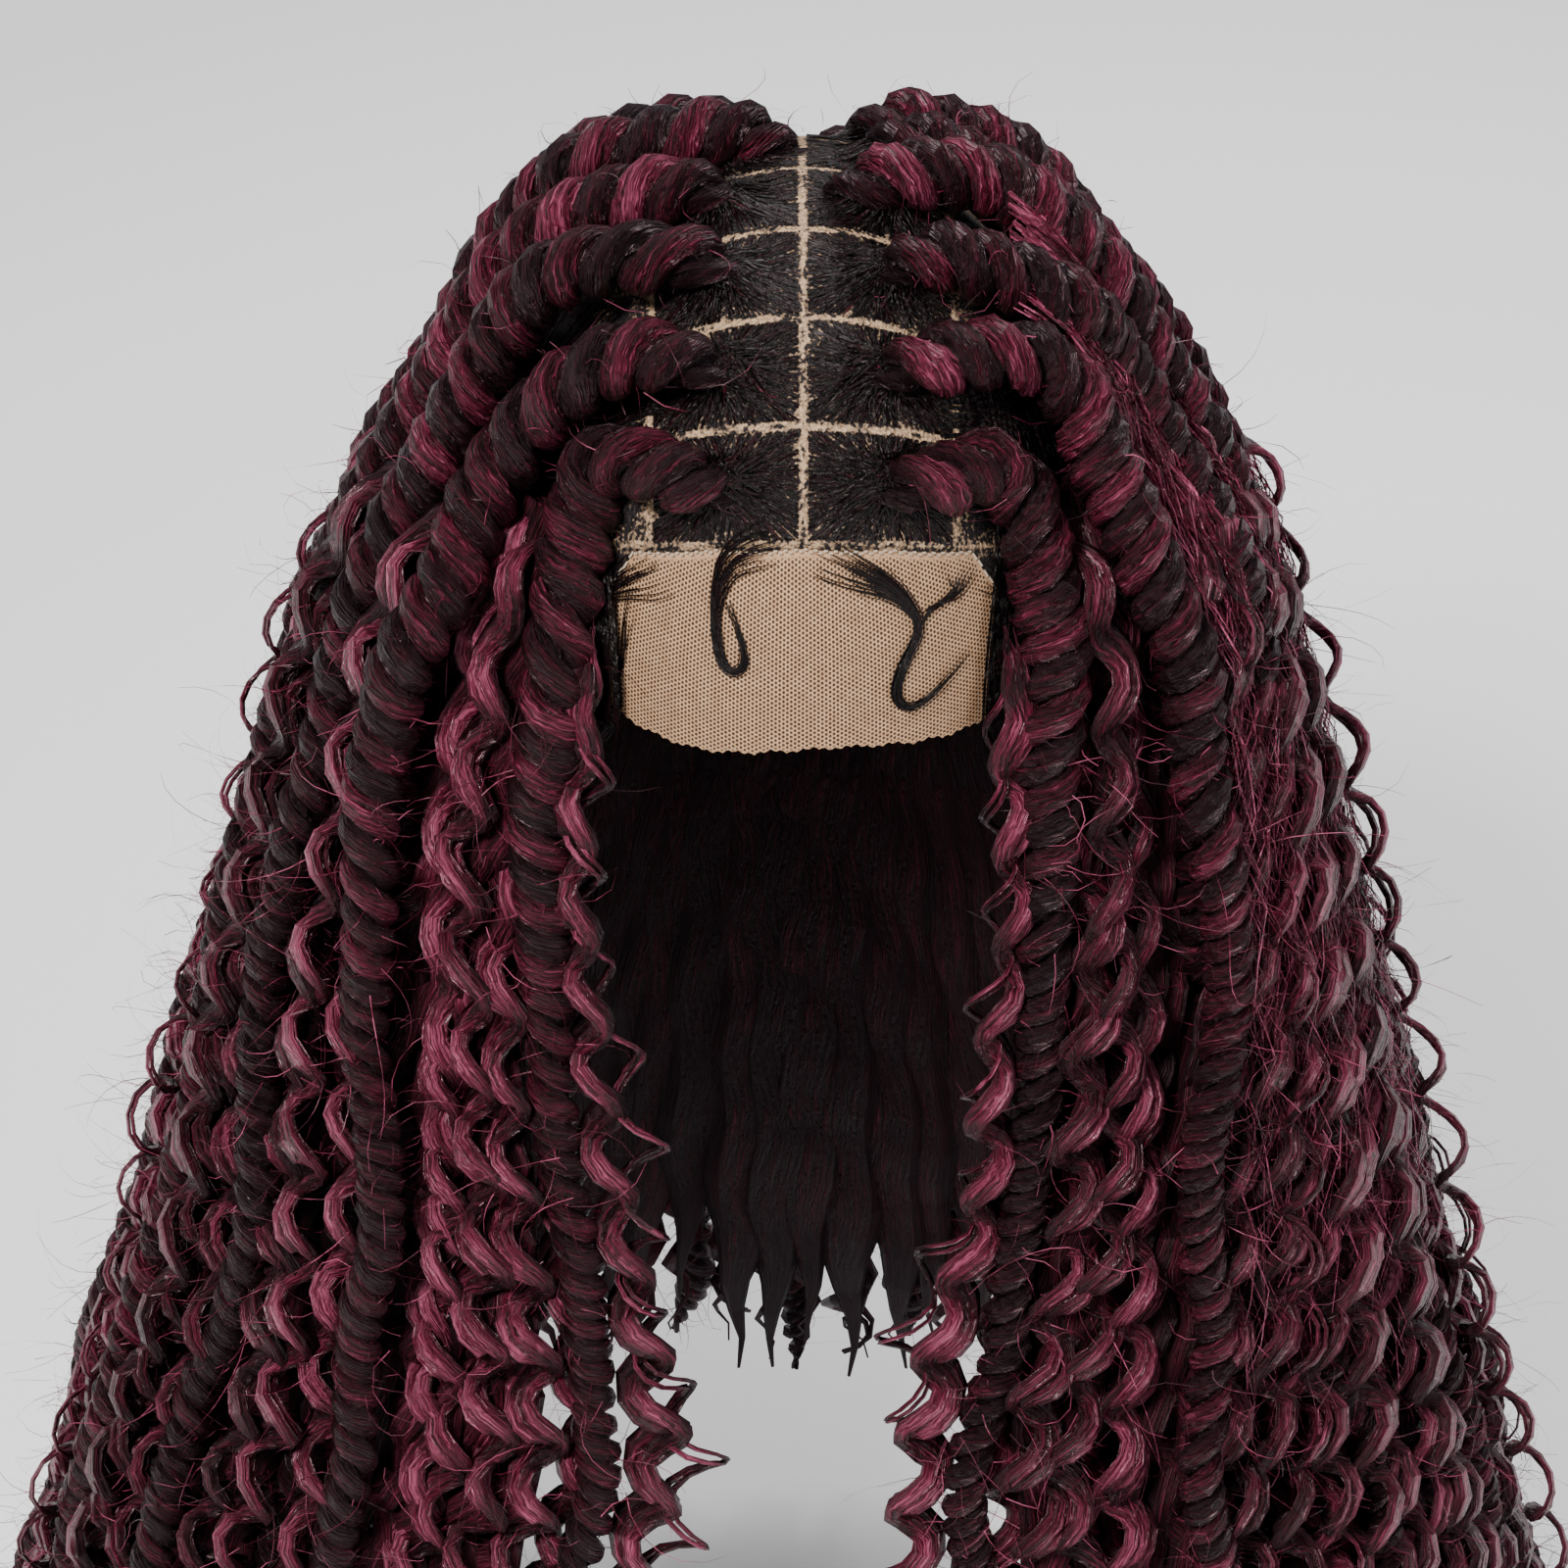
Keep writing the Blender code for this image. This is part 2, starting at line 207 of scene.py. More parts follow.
def row_way(row, t):
    """The way of one row over the head, on the cap, from its root to its slot at the widest level."""
    if row == ROWS:
        return row_way(ROWS - 1, t) * (-1, 1, 1)
    slot = (row + 0.5) / ROWS
    end = drape(slot, 0, 0)
    if row < PARTED_ROWS:
        row_angle = FIRST_ROW + row * ROW_STEP
        root = scalp_point(row_angle, ROOT_ANGLE)
        back = SWEEP_BACK * smooth((SWEEP_END - row_angle) / (SWEEP_END - FIRST_ROW))
        sweep = scalp_point(row_angle + back, SWEEP_ANGLE)
    else:
        root = on_head(mix(FACE_AZIMUTH, 180, slot), FAN_ELEVATION)
        sweep = mix(root, end, 0.33)
    fall = end + (0, 0, FALL_HEIGHT)
    t = t[:, None]
    s = 1 - t
    return root * s**3 + sweep * (3 * t * s * s) + fall * (3 * t * t * s) + end * t**3


def way(row, t):
    """The way of a lock that grows between two rows."""
    low = int(min(max(math.floor(row), 0), ROWS - 1))
    return mix(row_way(low, t), row_way(low + 1, t), min(max(row - low, -0.4), 1.0))


def resampled(line, count):
    """The line with count points, spaced evenly along it."""
    lengths = np.concatenate(([0], np.cumsum(np.linalg.norm(np.diff(line, axis=0), axis=1))))
    wanted = np.linspace(0, lengths[-1], count)
    return np.stack([np.interp(wanted, lengths, line[:, axis]) for axis in range(3)], axis=1)


def softened(line, reach):
    """The line with its corners rounded, its ends kept."""
    weights = np.hanning(2 * reach + 3)[1:-1]
    padded = np.concatenate([
        2 * line[0] - line[reach:0:-1], line, 2 * line[-1] - line[-2:-reach - 2:-1]
    ])
    return np.stack([
        np.convolve(padded[:, axis], weights / weights.sum(), "valid") for axis in range(3)
    ], axis=1)


def lock_line(row, start, heights, drop, lean=0.0):
    """A smooth line from a start over the head to a tip. heights gives its height above the cap at a share
    of the way over. Over the head it lies up to lean rows nearer the hairline than its row."""
    over = np.linspace(start, 1, 60)[:-1]
    fallen = np.linspace(0, drop, 140)
    leaning = (0.4 + 0.6 * smooth(over / 0.15)) * smooth((0.85 - over) / 0.45)
    path = way(row, over) + (way(1.0, over) - way(0.0, over)) * (-lean * leaning)[:, None]
    head = spread(lifted(path, heights(over)))
    hanging = spread(drape((row + 0.5) / ROWS, heights(np.ones(1)), fallen))
    return softened(resampled(np.concatenate([head, hanging]), LINE_POINTS), 6)


def hanging_lock(row, start, height, drop):
    """A line that comes out from under the locks at a drop below the widest level, and hangs."""
    fallen = np.linspace(start, drop, 160)
    heights = mix(0.004, height, smooth((fallen - start) / 0.05))
    return softened(resampled(spread(drape((row + 0.5) / ROWS, heights, fallen)), LINE_POINTS), 6)


def twist_heights(row, bulge):
    """Heights of an outer twist, which bulges up after its root. The front one lies on the cap."""
    def heights(t):
        rest = mix(-0.001, TWIST_REST, smooth(t / 0.07))
        if row < 0.5:
            return rest
        over = mix(rest, TWIST_OVER, smooth(t / 0.42))
        over = over + (TWIST_SIDE - TWIST_OVER) * smooth((t - 0.42) / 0.58)
        return over + bulge * smooth(t / 0.1) * smooth((0.42 - t) / 0.26)
    return heights


def inner_heights(rest, side):
    """Heights of a lock that lies at rest on the cap first, and further out at the side of the head."""
    return lambda t: mix(rest, side, smooth((t - 0.5) / 0.5))


def rising(start, rest, side):
    """Heights of a lock that grows out of the cap at its start."""
    above = inner_heights(rest, side)
    return lambda t: mix(0.002, above(t), smooth((t - start) / 0.10))


def flip(lines, side):
    """Lines for the right or the left. Below the widest level the hair on the left stands out more, also
    where it falls on the chest."""
    out = lines * (side, 1, 1)
    if side < 0:
        out[..., 0] *= 1 + LEFT_SPREAD * smooth((-0.06 - out[..., 2]) / 0.1)
        on_chest = smooth((-0.25 - out[..., 2]) / 0.2) * smooth((-0.02 - out[..., 1]) / 0.08)
        out[..., 0] -= LEFT_SHIFT * on_chest
    return out


def run_lengths(lines):
    """The way from each line's start to each of its points."""
    steps = np.linalg.norm(np.diff(lines, axis=1), axis=2)
    return np.concatenate([np.zeros((len(lines), 1)), np.cumsum(steps, axis=1)], axis=1)


class Strands:
    """Collects tubes and ribbons, and makes one mesh of them."""

    def __init__(self):
        self.points, self.quads, self.fibre, self.tone = [], [], [], []
        self.count = 0

    def add(self, points, quads, fibre, tone):
        self.points.append(points.reshape(-1, 3))
        self.quads.append(quads.reshape(-1, 4) + self.count)
        self.fibre.append(fibre.reshape(-1, 3))
        self.tone.append(tone.reshape(-1))
        self.count += points.size // 3

    def tubes(self, lines, radii, out, tone, sides=6, flat=1.0, painted_shade=0.0, rough=0.0):
        """Tubes along lines (k, m, 3) with radii (k, m). They are flat times as thick outwards, darker
        inwards by a painted shade, and uneven by rough."""
        k, m, _ = lines.shape
        along = unit(np.gradient(lines, axis=1))
        across = unit(np.cross(along, out))
        normal = np.cross(across, along)
        angles = np.arange(sides) * 2 * math.pi / sides
        ring = normal[:, :, None] * (np.cos(angles) * flat)[:, None]
        ring = ring + across[:, :, None] * np.sin(angles)[:, None]
        uneven = radii[:, :, None] * (1 + rng.normal(0, rough, (k, m, sides)))
        points = lines[:, :, None] + ring * uneven[..., None]
        tube, step, side = np.meshgrid(np.arange(k), np.arange(m - 1), np.arange(sides), indexing="ij")
        base, other = (tube * m + step) * sides, (side + 1) % sides
        quads = np.stack([base + side, base + other, base + sides + other, base + sides + side], axis=-1)
        girth = radii.max(axis=1)[:, None, None]
        fibre = stack(
            np.cos(angles) * girth, np.sin(angles) * girth + tube[:, :1, :1] * TUBE_STEP,
            run_lengths(lines)[:, :, None]
        )
        # Painted shade: each tube is darker on its side that faces inwards, in the groove of a twist or under
        # a curl.
        tones = np.reshape(tone, (k, -1, 1)) - painted_shade * (1 - np.cos(angles)) / 2
        self.add(points, quads, fibre, np.broadcast_to(tones, (k, m, sides)).copy())

    def ribbons(self, lines, widths, out, tone):
        """Flat fibres along lines (k, m, 3) that face out."""
        k, m, _ = lines.shape
        across = unit(np.cross(unit(np.gradient(lines, axis=1)), out)) * np.reshape(widths, (k, -1, 1)) / 2
        points = np.stack([lines - across, lines + across], axis=2)
        fibre_number, step = np.meshgrid(np.arange(k), np.arange(m - 1), indexing="ij")
        base = (fibre_number * m + step) * 2
        quads = np.stack([base, base + 1, base + 3, base + 2], axis=-1)
        fibre = stack(
            np.array((-1, 1)) * 0.0001, np.arange(k)[:, None, None] * RIBBON_STEP,
            run_lengths(lines)[:, :, None]
        )
        self.add(points, quads, fibre, np.broadcast_to(np.reshape(tone, (k, -1, 1)), (k, m, 2)).copy())

    def make(self, name, material, nodes=()):
        points, quads = np.concatenate(self.points), np.concatenate(self.quads)
        piece = mesh_piece(name, points, quads, material, nodes)
        for label, kind, field, values in (
            ("fibre", "FLOAT_VECTOR", "vector", self.fibre), ("tone", "FLOAT", "value", self.tone)
        ):
            attribute = piece.data.attributes.new(label, kind, "POINT")
            attribute.data.foreach_set(field, np.concatenate(values).astype(np.float32).ravel())
        return piece


def mesh_piece(name, points, quads, material, nodes=()):
    mesh = bpy.data.meshes.new(name)
    mesh.vertices.add(len(points))
    mesh.vertices.foreach_set("co", points.astype(np.float32).ravel())
    mesh.loops.add(quads.size)
    mesh.loops.foreach_set("vertex_index", quads.astype(np.int32).ravel())
    mesh.polygons.add(len(quads))
    mesh.polygons.foreach_set("loop_start", np.arange(0, quads.size, 4, dtype=np.int32))
    mesh.polygons.foreach_set("use_smooth", np.ones(len(quads), bool))
    mesh.update(calc_edges=True)
    mesh.materials.append(material)
    piece = bpy.data.objects.new(name, mesh)
    bpy.context.scene.collection.objects.link(piece)
    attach(piece, "root")
    if nodes:
        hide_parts(*nodes)
    return piece


# Materials

class Nodes:
    """Short calls for building one material's nodes."""

    def __init__(self, name):
        self.material = bpy.data.materials.new(name)
        self.material.use_nodes = True
        self.tree = self.material.node_tree
        self.shader = self.tree.nodes["Principled BSDF"]

    def node(self, kind, **settings):
        node = self.tree.nodes.new(kind)
        for key, value in settings.items():
            setattr(node, key, value)
        return node

    def link(self, source, target):
        self.tree.links.new(source, target)

    def feed(self, target, value):
        if isinstance(value, bpy.types.NodeSocket):
            self.link(value, target)
        else:
            target.default_value = value

    def math(self, operation, *values, clamp=False):
        node = self.node("ShaderNodeMath", operation=operation, use_clamp=clamp)
        for socket, value in zip(node.inputs, values):
            self.feed(socket, value)
        return node.outputs[0]

    def attribute(self, name, output="Fac"):
        return self.node("ShaderNodeAttribute", attribute_name=name).outputs[output]

    def noise(self, vector, scale, stretch=(1, 1, 1), detail=3.0):
        """Noise spread evenly over 0 to 1 or so, in cells of 1 / scale."""
        mapping = self.node("ShaderNodeMapping")
        self.feed(mapping.inputs["Vector"], vector)
        mapping.inputs["Scale"].default_value = tuple(scale * s for s in stretch)
        noise = self.node("ShaderNodeTexNoise")
        self.link(mapping.outputs[0], noise.inputs["Vector"])
        noise.inputs["Scale"].default_value = 1.0
        noise.inputs["Detail"].default_value = detail
        return self.math("MULTIPLY_ADD", self.math("SUBTRACT", noise.outputs[0], 0.5), 2.6, 0.5, clamp=True)

    def ramp(self, value, *stops):
        node = self.node("ShaderNodeValToRGB")
        elements = node.color_ramp.elements
        while len(elements) < len(stops):
            elements.new(0.5)
        for element, (position, colour) in zip(elements, stops):
            element.position = position
            element.color = (*colour, 1)
        self.feed(node.inputs[0], value)
        return node.outputs[0]

    def blend(self, share, a, b):
        node = self.node("ShaderNodeMix", data_type="RGBA")
        self.feed(node.inputs["Factor"], share)
        self.feed(node.inputs["A"], a)
        self.feed(node.inputs["B"], b)
        return node.outputs["Result"]

    def span(self, value, low, high, to_low=0.0, to_high=1.0):
        node = self.node("ShaderNodeMapRange")
        self.feed(node.inputs["Value"], value)
        for socket, number in zip(("From Min", "From Max", "To Min", "To Max"), (low, high, to_low, to_high)):
            node.inputs[socket].default_value = number
        return node.outputs[0]

    def bump(self, height, strength, distance):
        node = self.node("ShaderNodeBump")
        node.inputs["Strength"].default_value = strength
        node.inputs["Distance"].default_value = distance
        self.feed(node.inputs["Height"], height)
        self.link(node.outputs[0], self.shader.inputs["Normal"])


BLACK = (0.0028, 0.0018, 0.0020)
WINE_DARK = (0.014, 0.0020, 0.0040)
BURGUNDY = (0.098, 0.0064, 0.0225)
WINE_LIGHT = (0.330, 0.068, 0.130)
PINK = (1.0, 0.68, 0.74, 1)
CREAM = (1.0, 0.92, 0.88, 1)


def hair_material(name, rough, shine, sheen, lift=0.0, relief=1.0, kinky=1.0, tint=PINK):
    """Fine fibres along each strand, in streaks from black through burgundy to light wine. lift makes all
    of it lighter, relief deepens the fibres and kinky bends and shortens them."""
    m = Nodes(name)
    fibre = m.attribute("fibre", "Vector")
    kink = m.node("ShaderNodeTexNoise")
    kink.inputs["Scale"].default_value = 260
    kink.inputs["Detail"].default_value = 1.0
    m.link(fibre, kink.inputs["Vector"])
    bent = m.node("ShaderNodeVectorMath", operation="MULTIPLY_ADD")
    m.link(kink.outputs["Color"], bent.inputs[0])
    bent.inputs[1].default_value = (0.0012 * kinky, 0.0012 * kinky, 0)
    m.link(fibre, bent.inputs[2])
    fibre = bent.outputs[0]
    fine = m.noise(fibre, 1900, (1, 1, 0.035 * kinky))
    clump = m.noise(fibre, 760, (1, 1, 0.07 * kinky), 2.0)
    patch = m.noise(fibre, 45, (1, 1, 0.6), 1.0)
    tone = m.math("ADD", m.attribute("tone"), lift)
    tone = m.math("ADD", tone, m.math("MULTIPLY", m.math("SUBTRACT", fine, 0.5), 0.56))
    tone = m.math("ADD", tone, m.math("MULTIPLY", m.math("SUBTRACT", clump, 0.5), 0.46))
    tone = m.math("ADD", tone, m.math("MULTIPLY", m.math("SUBTRACT", patch, 0.5), 0.26), clamp=True)
    colour = m.ramp(tone, (0.0, BLACK), (0.36, WINE_DARK), (0.68, BURGUNDY), (1.0, WINE_LIGHT))
    m.link(colour, m.shader.inputs["Base Color"])
    m.link(m.span(clump, 0, 1, rough - 0.07, rough + 0.10), m.shader.inputs["Roughness"])
    m.shader.inputs["Specular IOR Level"].default_value = shine
    m.shader.inputs["Specular Tint"].default_value = tint
    m.shader.inputs["Sheen Weight"].default_value = sheen
    m.shader.inputs["Sheen Roughness"].default_value = 0.4
    m.shader.inputs["Sheen Tint"].default_value = (0.75, 0.35, 0.45, 1)
    m.bump(m.math("ADD", fine, m.math("MULTIPLY", clump, 2.2)), relief, 0.0012)
    return m.material


def scalp_material():
    """Black hair roots on tan lace, which shows along the partings. grid holds each point's row number,
    counted from the hairline, its angle to the side in degrees and how far the partings show there."""
    m = Nodes("scalp_lace")
    place = m.node("ShaderNodeSeparateXYZ")
    m.link(m.attribute("grid", "Vector"), place.inputs[0])
    row, side, shown = place.outputs
    position = m.node("ShaderNodeNewGeometry").outputs["Position"]
    wander = m.math("MULTIPLY", m.math("SUBTRACT", m.noise(position, 120), 0.5), 0.0028)
    off_middle = m.math("MULTIPLY", m.math("ABSOLUTE", side), HALF_WIDTH * math.pi / 180)
    cross = m.math("MULTIPLY", m.math("PINGPONG", m.math("ADD", row, 8), 0.5), ROW_PITCH)
    off_side = m.math("SUBTRACT", off_middle, HALF_WIDTH * math.radians(SIDE_PARTING))
    nearest = m.math("MINIMUM", off_middle, m.math("MINIMUM", cross, m.math("ABSOLUTE", off_side)))
    nearest = m.math("ABSOLUTE", m.math("ADD", nearest, wander))
    roots = m.noise(position, 900, detail=1.0)
    line = m.span(m.math("ADD", nearest, m.math("MULTIPLY", roots, 0.0012)), 0.0009, 0.0017, 1.0, 0.0)
    thin = m.span(m.math("ADD", nearest, m.math("MULTIPLY", roots, 0.0120)), 0.0045, 0.0080, 0.62, 0.0)
    bare = m.math("MAXIMUM", line, thin)
    bare = m.math("MULTIPLY", bare, shown)
    mesh = m.noise(position, 1500, detail=0.0)
    skin = m.blend(mesh, (0.27, 0.17, 0.10, 1), (0.50, 0.34, 0.21, 1))
    hair = m.ramp(
        m.noise(position, 1300, (1, 1, 0.3)), (0.2, (0.004, 0.003, 0.003)), (1.0, (0.020, 0.013, 0.014))
    )
    m.link(m.blend(bare, hair, skin), m.shader.inputs["Base Color"])
    m.shader.inputs["Roughness"].default_value = 0.68
    m.shader.inputs["Specular IOR Level"].default_value = 0.22
    m.bump(m.math("ADD", roots, mesh), 0.6, 0.0005)
    return m.material


def net_material():
    """Fine six-sided tan net. flat holds a point's place on the flat net, in metres."""
    m = Nodes("lace_net")
    place = m.node("ShaderNodeSeparateXYZ")
    m.link(m.attribute("flat", "Vector"), place.inputs[0])
    waves = None
    for angle in (0, 60, 120):
        turn, step = math.radians(angle), 2 * math.pi / NET_PITCH
        along = m.math("ADD", m.math("MULTIPLY", place.outputs[0], math.cos(turn) * step),
                       m.math("MULTIPLY", place.outputs[1], math.sin(turn) * step))
        wave = m.math("COSINE", along)
        waves = wave if waves is None else m.math("ADD", waves, wave)
    thread = m.span(waves, 0.9, -0.9, 0.12, 1.0)
    thread = m.math("MAXIMUM", thread, place.outputs[2])
    grain = m.noise(m.attribute("flat", "Vector"), 300)
    m.link(m.blend(grain, (0.52, 0.29, 0.155, 1), (0.66, 0.40, 0.23, 1)), m.shader.inputs["Base Color"])
    m.link(m.math("MULTIPLY", thread, 0.70), m.shader.inputs["Alpha"])
    m.shader.inputs["Roughness"].default_value = 0.7
    m.bump(thread, 0.4, 0.0002)
    return m.material


def thread_material():
    m = Nodes("seam_thread")
    fibre = m.attribute("fibre", "Vector")
    colour = m.blend(m.noise(fibre, 3000), (0.30, 0.22, 0.15, 1), (0.56, 0.45, 0.34, 1))
    m.link(colour, m.shader.inputs["Base Color"])
    m.shader.inputs["Roughness"].default_value = 0.6
    m.bump(m.noise(fibre, 4000), 0.5, 0.0002)
    return m.material


# Ropes, curls and fibres

def tapered(full, share):
    """Radius along a rope: soon full from its root, thinner where it hangs, closed at its tip."""
    grown = mix(0.34, 1, smooth(share / 0.036))
    thin = mix(1, 0.70, smooth((share - 0.12) / 0.35)) * mix(1, 0.97, share)
    closed = mix(1, 0.25, smooth((share - 0.95) / (1 - 0.95)))
    return full * grown * thin * closed


def falling_pitch(share):
    """Length of a rope's turn, shorter where it hangs."""
    return mix(PITCH_ABOVE, PITCH_BELOW, smooth(share / 0.5))


def rope(strands, line, radius, sides, turn_points, tones, hand):
    """A two-strand twist round a line: its strands are tubes that wind round each other, with turn_points
    sections a turn. Gives back their paths, outward directions and radii."""
    phase = rng.uniform(0, 6.3)
    length = run_lengths(line[None])[0, -1]
    even = np.linspace(0, 1, ROPE_POINTS)
    uneven = 1 + 0.16 * np.sin(even * 61 + phase) + 0.10 * np.sin(even * 23 + 2 * phase)
    steps = np.gradient(even) * length / falling_pitch(even) * uneven
    turns = np.cumsum(steps)
    count = int(turns[-1] * turn_points)
    share = np.interp(np.linspace(0, turns[-1], count), turns, even)
    centre = resampled(line, ROPE_POINTS)
    centre = np.stack([np.interp(share, even, centre[:, axis]) for axis in range(3)], axis=1)
    angle = hand * 2 * math.pi * np.linspace(0, turns[-1], count) + phase
    along = unit(np.gradient(centre, axis=0))
    across = unit(np.cross(along, outward(centre)))
    normal = np.cross(across, along)
    size = tapered(radius, share)
    paths, outs = [], []
    for turned in (0, math.pi):
        out = normal * np.cos(angle + turned)[:, None] + across * np.sin(angle + turned)[:, None]
        paths.append(centre + out * (0.52 * size)[:, None])
        outs.append(out)
    wobble = 1 + 0.09 * np.sin(angle * 1.37 + phase * 3) + 0.07 * np.sin(angle * 0.53 + phase)
    radii = np.array([size * 0.54 * wobble, size * 0.54 / wobble])
    # The strands get painted shade where they face each other, in the twist's groove.
    strands.tubes(np.array(paths), radii, np.array(outs), tones(share), sides, painted_shade=0.40, rough=0.045)
    return np.array(paths), np.array(outs), radii


def wavy(line, sway, depth, wave, phase, count):
    """A line that swings sideways and in and out, more as it falls, and how far it is out at each point."""
    line = resampled(line, count)
    run = run_lengths(line[None])[0]
    grow = smooth(run / 0.05) * mix(0.68, 1.0, smooth(run / 0.28))
    along = unit(np.gradient(line, axis=0))
    out = outward(line)
    across = unit(np.cross(along, out))
    turn = 2 * math.pi * run / wave + phase
    slow = 1 + 0.25 * np.sin(turn * 0.23 + phase)
    path = line + across * (sway * slow * grow * np.sin(turn))[:, None]
    path = path + out * (depth * grow * np.cos(turn))[:, None]
    return path, np.cos(turn)


def curl(strands, side, line, width, sway, wave, phase, tone,
         threads=3, count=130, sides=5, thick=CURL_THICK):
    """A loose wavy lock from a line on the right: threads that swing together, side by side, with a painted
    highlight where they bulge outwards and painted shade on their side towards the head."""
    lines, radii, tones = [], [], []
    share = np.linspace(0, 1, count)
    body = smooth(share / 0.04) * mix(1, 0.75, share) * mix(1, 0.25, smooth((share - 0.9) / 0.1))
    for n in range(threads):
        place = (n + 0.5) / threads - 0.5
        turn = phase + rng.normal(0, 0.12) + place * 0.35
        path, bulge = wavy(line, sway * rng.uniform(0.92, 1.08), sway * 0.85, wave, turn, count)
        # Painted highlight: a thread is lighter where it bulges outwards, on the crest of each wave.
        tones.append(tone + rng.normal(0, 0.06) + 0.20 * bulge)
        along = unit(np.gradient(path, axis=0))
        out = outward(path)
        across = unit(np.cross(along, out))
        drift = 0.0008 * np.sin(share * rng.uniform(8, 20) + rng.uniform(0, 6))
        path = path + across * (width * place * body + drift)[:, None]
        path = path + out * (rng.normal(0, 0.0008) + 0.0008 * np.sin(share * 17 + n * 2))[:, None]
        lines.append(path)
        radii.append(thick * rng.uniform(0.85, 1.15) * np.maximum(body, 0.06))
    lines = flip(np.array(lines), side)
    strands.tubes(lines, np.array(radii), outward(lines), np.array(tones), sides, flat=0.60, painted_shade=0.25)


def stray(strands, starts, heading, length, curliness, tone, width, count):
    """Loose fibres that leave their starts in their headings and bend and curl at random. Those that would
    leave the room round the model are left out."""
    k = len(starts)
    step = (np.broadcast_to(length, (k,)) / (count - 1))[:, None]
    bend = unit(rng.normal(size=(k, 3)))
    drift = rng.normal(size=(k, 3)) * 0.25
    points, way_on = [starts], heading
    for n in range(count - 1):
        turn = np.broadcast_to(curliness, (k,))[:, None]
        way_on = unit(way_on + np.cross(bend, way_on) * turn + drift * 0.3 + np.array((0, 0, -0.06)))
        points.append(points[-1] + way_on * step)
    lines = np.stack(points, axis=1)
    widths = np.broadcast_to(np.reshape(width, (-1, 1)), (k, 1)) * np.linspace(1, 0.35, count)
    low, high = np.array(cad_box) + np.outer((-1, 1), FRIZZ_ROOM)
    kept = ((lines > low) & (lines < high)).all(axis=(1, 2))
    tone = np.broadcast_to(np.reshape(tone, (-1, 1)), (k, 1))[kept]
    facing = outward(lines) + rng.normal(0, 0.3, size=(k, 1, 3))
    strands.ribbons(lines[kept], widths[kept], facing[kept], tone)


def natural(line, amount):
    """The line with slow bends to both sides, none at its root."""
    line = resampled(line, LINE_POINTS)
    run = run_lengths(line[None])[0]
    grow = amount * smooth(run / 0.06)
    out = outward(line)
    across = unit(np.cross(unit(np.gradient(line, axis=0)), out))
    turn = 2 * math.pi * run
    bends = sum(np.sin(turn / rng.uniform(0.07, 0.22) + rng.uniform(0, 6.3)) for _ in range(3)) / 2
    swell = np.sin(turn / rng.uniform(0.12, 0.2) + rng.uniform(0, 6.3))
    return line + across * (grow * bends)[:, None] + out * (0.35 * grow * swell)[:, None]


def two_tones(low, high):
    """Tones of a rope's two strands, which drift along it."""
    seeds = rng.uniform(0, 6.3, 4)

    def tones(share):
        drift = 0.08 * np.sin(share * 11 + seeds[0]) + 0.05 * np.sin(share * 29 + seeds[1])
        other = 0.08 * np.sin(share * 9 + seeds[2]) + 0.05 * np.sin(share * 23 + seeds[3])
        above = 1 - smooth((share - 0.12) / 0.3)
        pair = np.array([low + 0.08 * above + drift, high + 0.16 * above - 0.05 + other])
        return pair * smooth((share - 0.004) / 0.028)
    return tones


def loose_fibres(strands, twisted, number, length):
    """Fine fibres that stand off a rope's strands, from what rope() gives back."""
    paths, outs, radii = twisted
    which = rng.integers(0, 2, number)
    place = rng.integers(4, paths.shape[1] - 4, number)
    around = rng.uniform(0, 2 * math.pi, number)
    at = paths[which, place]
    along = unit(paths[which, place + 2] - paths[which, place - 2])
    out = outs[which, place]
    across = np.cross(along, out)
    side = out * np.cos(around)[:, None] + across * np.sin(around)[:, None]
    start = at + side * (radii[which, place] * 0.96)[:, None]
    turn = rng.choice((-1, 1), number)[:, None]
    heading = along * turn * 0.8 + side * rng.uniform(0.1, 1.0, (number, 1))
    heading = heading + rng.normal(0, 0.35, (number, 3))
    lengths = length * rng.uniform(0.5, 1.5, number) * rng.choice((1, 1, 2), number)
    stray(strands, start, unit(heading), lengths, rng.uniform(0.3, 1.0, number),
          0.50 + rng.normal(0, 0.16, (number, 1)), rng.uniform(*FIBRE_WIDTH, number), 5)


rng = np.random.default_rng(11)
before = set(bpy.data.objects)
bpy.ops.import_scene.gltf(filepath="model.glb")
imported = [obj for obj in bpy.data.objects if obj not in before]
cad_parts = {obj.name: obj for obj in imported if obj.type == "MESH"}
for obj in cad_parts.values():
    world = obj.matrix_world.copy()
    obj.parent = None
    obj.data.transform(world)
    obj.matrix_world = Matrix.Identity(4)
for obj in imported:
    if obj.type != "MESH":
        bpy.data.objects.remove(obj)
cad_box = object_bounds()

hair = {
    "twist": hair_material("twist_hair", rough=0.31, shine=0.28, sheen=0.02, kinky=2.0),
    "under": hair_material("under_twist_hair", rough=0.34, shine=0.22, sheen=0.01, kinky=2.0),
    "curl": hair_material("curl_hair", rough=0.28, shine=0.34, sheen=0.03, relief=0.8, kinky=1.3),
    "packed": hair_material("under_hair", rough=0.46, shine=0.20, sheen=0.02),
    "frizz": hair_material("loose_fibres", rough=0.45, shine=0.38, sheen=0.0, relief=0.2),
    "scalp": hair_material("scalp_hair", rough=0.42, shine=0.22, sheen=0.0, lift=-0.06, tint=CREAM),
}
frizz = Strands()

